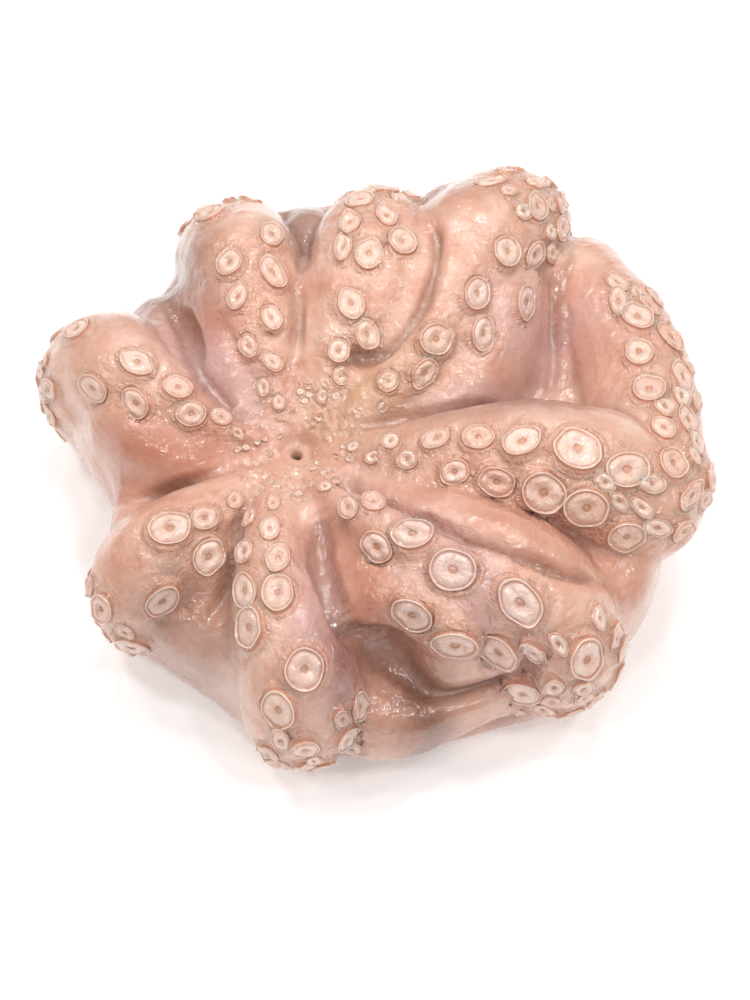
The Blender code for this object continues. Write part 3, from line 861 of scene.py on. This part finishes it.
# Painted shade: the mouth pit is coloured near black.
painted_pit_shade = add(tree, "Attribute", attribute_name="pit").outputs["Fac"]
colour = add(tree, "Mix", {0: painted_pit_shade, 6: colour, 7: shade("#2B1712")}, data_type="RGBA").outputs[2]

# Fine brown streaks and dots of pigment, a millimetre across.
dots = add(tree, "TexNoise", {"Vector": where, "Scale": 1 / 0.0011, "Detail": 4.0, "Roughness": 0.7})
share = add(tree, "MapRange", {0: dots.outputs[0], 1: 0.50, 2: 0.78, 3: 0.0, 4: 0.30}).outputs[0]
colour = add(tree, "Mix", {0: share, 6: colour, 7: shade("#B07260")}, data_type="RGBA").outputs[2]

# The suckers' cuticle over the same tissue: an orange stalk, darkened further as painted shade under the rim, a
# rim of pale cuticle brightened to near white as a painted highlight, a milky face, and amber round the plug.
cloud = add(tree, "TexNoise", {"Vector": where, "Scale": 1 / 0.0030, "Detail": 3.0, "Roughness": 0.65})
share = add(tree, "MapRange", {0: cloud.outputs[0], 1: 0.40, 2: 0.72}).outputs[0]
face = add(tree, "Mix", {0: share, 6: shade("#F7E2D6"), 7: shade("#E9C5B0")}, data_type="RGBA").outputs[2]
# The rim's near white is partly its pale cuticle and partly a painted highlight; the stalk's orange brown is partly
# its own colour and partly painted shade under the rim.
SUCKER_SHADES = {
    "stalk": shade("#BE7E5C"),
    "rim": shade("#F8E8DE"),
    "groove": shade("#C48A6E"),
    "face": face,
    "plug_ring": shade("#F0D8C6"),
    "plug": shade("#C08050"),
}
for name, part_shade in SUCKER_SHADES.items():
    share = add(tree, "Attribute", attribute_name=name).outputs["Fac"]
    colour = add(tree, "Mix", {0: share, 6: colour, 7: part_shade}, data_type="RGBA").outputs[2]
tree.links.new(colour, shader.inputs["Base Color"])

# Fine relief: grain of a millimetre everywhere and crumpled film of two to four, stronger on the strips.
grain = add(tree, "TexNoise", {"Vector": where, "Scale": 1 / 0.0010, "Detail": 2.0})
film = add(tree, "TexNoise", {"Vector": where, "Scale": 1 / 0.0030, "Detail": 1.0, "Distortion": 1.4})
slack = add(tree, "TexNoise", {"Vector": where, "Scale": 1 / 0.0042, "Detail": 3.0, "Distortion": 0.8})
film_height = add(tree, "Math", {0: film.outputs[0], 1: 0.5}, operation="SUBTRACT").outputs[0]
film_height = add(tree, "Math", {0: film_height}, operation="ABSOLUTE").outputs[0]
strength = add(tree, "Attribute", attribute_name="zone").outputs["Fac"]
film_strength = add(tree, "MapRange", {0: strength, 1: 0.35, 2: 1.0, 3: 0.08, 4: 0.85}).outputs[0]
slack_strength = add(tree, "MapRange", {0: strength, 3: 0.30, 4: 0.95}).outputs[0]
bump = add(tree, "Bump", {"Strength": 0.30, "Distance": 0.00022, "Height": grain.outputs[0]})
bump = add(
    tree, "Bump",
    {"Strength": film_strength, "Distance": 0.0020, "Height": film_height, "Normal": bump.outputs[0]},
)
bump = add(
    tree, "Bump",
    {"Strength": slack_strength, "Distance": 0.0014, "Height": slack.outputs[0], "Normal": bump.outputs[0]},
)
tree.links.new(bump.outputs[0], shader.inputs["Normal"])
tree.links.new(bump.outputs[0], shader.inputs["Coat Normal"])

skin.data.materials.clear()
skin.data.materials.append(wet_skin)
alone(skin)
bpy.ops.object.shade_smooth()
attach(skin, "root")
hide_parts("octopus")

# ---- The suckers ----------------------------------------------------------------------------------------
# Round cups of clear muscle on short stalks: a soft rim, a flat ribbed face and a small hole in the middle
# with a plug in it. One is modelled, in units of its own width, and copied; every copy is a little oval.

SUCKER_SIDES = 44
# From the skirt, which lies in the skin, to the middle: radius, height, and the part that it belongs to.
SUCKER_STATIONS = (
    (0.760, -0.040, "skirt"),
    (0.700, -0.006, "skirt"),
    (0.650, 0.022, "skirt"),
    (0.605, 0.038, "skirt"),
    (0.570, 0.034, "skirt"),
    (0.545, 0.014, "stalk"),
    (0.520, 0.010, "stalk"),
    (0.505, 0.040, "stalk"),
    (0.503, 0.075, "stalk"),
    (0.506, 0.100, "rim"),
    (0.500, 0.116, "rim"),
    (0.488, 0.122, "rim"),
    (0.474, 0.112, "rim"),
    (0.456, 0.088, "groove"),
    (0.424, 0.074, "groove"),
    (0.384, 0.084, "face"),
    (0.335, 0.108, "face"),
    (0.280, 0.119, "face"),
    (0.225, 0.112, "face"),
    (0.175, 0.094, "face"),
    (0.138, 0.092, "plug_ring"),
    (0.114, 0.080, "plug_ring"),
    (0.098, 0.058, "plug"),
    (0.076, 0.046, "plug"),
    (0.050, 0.060, "plug"),
    (0.022, 0.066, "plug"),
)
# How far each part's own shade covers the skin's.
PART_COVER = {"stalk": 0.6, "rim": 0.55, "groove": 0.38, "face": 0.60, "plug_ring": 0.4, "plug": 0.4}
SKIRT_INNER = 0.56
RIBS = 26
RIB_HEIGHT = 0.0050
RIB_MIDDLE = 0.36
SKIRT_REACH = 0.13
SKIRT_TUCKED = 0.26
TUCK_RADIUS = 0.46
TUCK_DEPTH = 1.8
MOST_LOST = 0.24
SMALL_SIDES = 12
SMALL_WIDTH = 0.0045
SOFTNESS = 0.030
PUFFED_WIDTH = 0.007
FLAT_WIDTH = 0.014
PUFF_HEIGHT = 0.055


Form = namedtuple("Form", "piece places out angle heights parts")


def sucker_form(stations, sides):
    """One sucker, a unit wide, extruded ring by ring from its skirt to its middle."""
    bpy.ops.object.select_all(action="DESELECT")
    radius, height, _ = stations[0]
    bpy.ops.mesh.primitive_circle_add(vertices=sides, radius=radius, location=(0, 0, height))
    form = bpy.context.object
    bpy.ops.object.transform_apply(location=True)
    bpy.ops.object.mode_set(mode="EDIT")
    for (was, low, _), (now, high, _) in zip(stations, stations[1:]):
        bpy.ops.mesh.extrude_region_move(TRANSFORM_OT_translate={"value": (0, 0, high - low)})
        bpy.ops.transform.resize(value=(now / was, now / was, 1), center_override=(0, 0, high))
    bpy.ops.mesh.extrude_region_move()
    bpy.ops.mesh.merge(type="CENTER")
    bpy.ops.mesh.select_all(action="SELECT")
    bpy.ops.mesh.normals_make_consistent(inside=False)
    bpy.ops.object.mode_set(mode="OBJECT")
    rows = places_of(form)
    out = np.hypot(rows[:, 0], rows[:, 1])
    named = [min(stations, key=lambda item: math.hypot(item[0] - o, item[1] - row[2])) for o, row in zip(out, rows)]
    heights = np.array([height for _, height, _ in named])
    return Form(form, rows, out, np.arctan2(rows[:, 1], rows[:, 0]), heights, [part for _, _, part in named])


full_form = sucker_form(SUCKER_STATIONS, SUCKER_SIDES)
small_form = sucker_form(SUCKER_STATIONS[::3], SMALL_SIDES)
skin_tree = BVHTree.FromObject(skin, bpy.context.evaluated_depsgraph_get())

by_arm = {}
chance = random.Random(34)
for number, sucker in enumerate(suckers):
    slack = sucker.slack
    form, form_places, form_out, form_angle, heights, parts = small_form if sucker.width < SMALL_WIDTH else full_form
    inside = np.clip(form_out / 0.5, 0, 1)
    rows = form_places.copy()
    ribbed = np.exp(-(((form_out - RIB_MIDDLE) / 0.09) ** 2))
    ribs = RIBS + chance.randint(-4, 4)
    rows[:, 2] += np.cos(form_angle * ribs + chance.uniform(0, 6)) * RIB_HEIGHT * ribbed
    # Small ones are puffed up round the hole, full-grown ones are flat with a thin rim.
    flatness = min(1.0, max(0.0, (sucker.width - PUFFED_WIDTH) / (FLAT_WIDTH - PUFFED_WIDTH)))
    puff = np.exp(-(((form_out - 0.32) / 0.12) ** 2)) * PUFF_HEIGHT * (1 - 0.75 * flatness)
    cup = chance.uniform(-0.03, 0.03)
    rows[:, 2] += puff - cup * np.clip(1 - form_out / 0.45, 0, 1)
    # The rim's unevenness: low waves all round, and soft dents where the sucker is slack.
    waves = sum(
        np.cos(form_angle * k + chance.uniform(0, 6)) * chance.uniform(0.0, 0.014 + 0.022 * slack)
        for k in (2, 3, 4, 5)
    )
    rows[:, :2] *= (1 + waves * inside)[:, None]
    rows[:, 2] += waves * 0.7 * inside
    dents = noise_at(form_places + number, 0.30, 9)
    rows[:, 2] += dents * SOFTNESS * (1 + slack)
    rows[:, :2] *= (1 + noise_at(form_places + number, 0.35, 10) * SOFTNESS * (1 + slack))[:, None]
    oval = 1 - chance.uniform(0.04, 0.16 + 0.22 * slack)
    rows[:, 0] *= oval
    rows[:, 1] /= oval**0.5
    copy = bpy.data.objects.new("sucker", form.data.copy())
    tilt = Vector((chance.uniform(-1, 1), chance.uniform(-1, 1), chance.uniform(-1, 1)))
    facing = (sucker.facing + tilt * (0.05 + 0.14 * slack)).normalized()
    sideways = facing.cross(sucker.along).normalized()
    turned = Matrix((sideways, facing.cross(sideways), facing)).transposed()
    turned = turned @ Matrix.Rotation(chance.uniform(-0.6, 0.6), 3, "Z")
    placed = rows @ np.array(turned).T * sucker.width + np.array(sucker.place)
    # The skirt follows the skin, and is tucked in under the rim as a stalk where the skin falls away.
    skirt = np.flatnonzero(form_out > SKIRT_INNER)
    lost = 0
    for i in skirt:
        start = Vector(placed[i]) + sucker.facing * sucker.width * 0.5
        hit, _, _, _ = skin_tree.ray_cast(start, -sucker.facing, sucker.width)
        level = (hit - sucker.place).dot(sucker.facing) / sucker.width if hit else 1.0
        tuck = ease((abs(level) - SKIRT_REACH) / (SKIRT_TUCKED - SKIRT_REACH))
        lost += tuck > 0.9
        laid = (hit or sucker.place) + sucker.facing * (heights[i] * sucker.width)
        deep = sucker.facing * (sucker.width * (SKIRT_INNER - form_out[i]) * TUCK_DEPTH)
        tucked = sucker.place + (Vector(placed[i]) - sucker.place) * (TUCK_RADIUS / form_out[i]) + deep
        placed[i] = laid.lerp(tucked, tuck)
    if slack == 1.0 and lost > MOST_LOST * len(skirt):
        bpy.data.objects.remove(copy)
        continue
    placed[:, 2] = np.maximum(placed[:, 2], 0.0)
    put_places(copy, placed)
    tone = chance.uniform(0.45, 1.15)
    for part, cover in PART_COVER.items():
        cover *= tone if part == "face" else 0.45 + 0.55 * flatness if part in ("rim", "groove") else 1
        put_attribute(copy, part, [cover * (named == part) for named in parts])
    put_attribute(copy, "zone", np.where(form_out > SKIRT_INNER, 1.0, 0.64))
    put_attribute(copy, "collar", np.exp(-(((form_out - 0.60) / 0.08) ** 2)))
    bpy.context.scene.collection.objects.link(copy)
    by_arm.setdefault(sucker.arm, []).append(copy)
for form in (full_form, small_form):
    bpy.data.objects.remove(form.piece)

for arm_name, copies in by_arm.items():
    bpy.ops.object.select_all(action="DESELECT")
    for copy in copies:
        copy.select_set(True)
    bpy.context.view_layer.objects.active = copies[0]
    bpy.ops.object.join()
    joined = bpy.context.object
    joined.name = joined.data.name = "suckers_" + arm_name
    joined.data.materials.clear()
    joined.data.materials.append(wet_skin)
    put_pigments(joined)
    bpy.ops.object.shade_smooth()
    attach(joined, "root")

# ---- Floor, light and camera ----------------------------------------------------------------------------
# A white floor under soft studio light: one large panel overhead towards the back, a smaller one in
# front, a ring of small lamps for the sparkle, and an even white surround.

FLOOR_SIZE = 3.0
bpy.ops.object.select_all(action="DESELECT")
bpy.ops.mesh.primitive_plane_add(size=FLOOR_SIZE, location=(0, 0, 0))
floor = bpy.context.object
floor.name = "floor"
paper = bpy.data.materials.new("white_paper_matt")
paper.use_nodes = True
paper.node_tree.nodes["Principled BSDF"].inputs["Base Color"].default_value = shade("#FFFFFF")
paper.node_tree.nodes["Principled BSDF"].inputs["Roughness"].default_value = 0.9
paper.node_tree.nodes["Principled BSDF"].inputs["Emission Color"].default_value = shade("#FFFFFF")
paper.node_tree.nodes["Principled BSDF"].inputs["Emission Strength"].default_value = 0.17
floor.data.materials.append(paper)

world = bpy.data.worlds.new("studio")
world.use_nodes = True
world.node_tree.nodes["Background"].inputs["Color"].default_value = shade("#FFFFFF")
world.node_tree.nodes["Background"].inputs["Strength"].default_value = 0.33
bpy.context.scene.world = world

Panel = namedtuple("Panel", "name place size watts tint")
PANELS = [
    Panel("overhead", (0.10, 0.42, 1.05), 0.60, 1.50, "#FFFDFA"),
    Panel("front", (0.10, -0.95, 0.85), 0.80, 0.6, "#FFFDFA"),
]
# Small lamps all round give the wet skin its sparkle.
SPARKLE_LAMPS = 12
SPARKLE_REACH = 0.75
for i in range(SPARKLE_LAMPS):
    turned = math.radians(GOLDEN_ANGLE * i + 40)
    reach = SPARKLE_REACH * (0.35 + 0.65 * (i + 0.5) / SPARKLE_LAMPS)
    place = (math.cos(turned) * reach, math.sin(turned) * reach, 0.85)
    PANELS.append(Panel(f"sparkle_{i}", place, 0.075, 0.79, "#FFFFFF"))
for panel in PANELS:
    bpy.ops.object.light_add(type="AREA", location=panel.place)
    light = bpy.context.object
    light.name = panel.name
    light.data.size = panel.size
    light.data.energy = panel.watts
    light.data.color = shade(panel.tint)[:3]
    light.rotation_mode = "QUATERNION"
    light.rotation_quaternion = (-Vector(panel.place)).to_track_quat("-Z", "Y")

# The camera looks down on the mouth side.
CAMERA_ELEVATION = 59
CAMERA_DISTANCE = 0.8
CAMERA_TARGET = Vector((0.0016, -0.0189, 0.040))
FRAME_WIDTH = 0.2586
SENSOR = 36.0
elevation = math.radians(CAMERA_ELEVATION)
back = Vector((0, -math.cos(elevation), math.sin(elevation)))
bpy.ops.object.camera_add(location=CAMERA_TARGET + back * CAMERA_DISTANCE)
camera = bpy.context.object
camera.rotation_euler = back.to_track_quat("Z", "Y").to_euler()
camera.data.sensor_width = SENSOR
camera.data.sensor_fit = "HORIZONTAL"
camera.data.lens = SENSOR * CAMERA_DISTANCE / FRAME_WIDTH
bpy.context.scene.camera = camera
bpy.context.scene.view_settings.view_transform = "Standard"
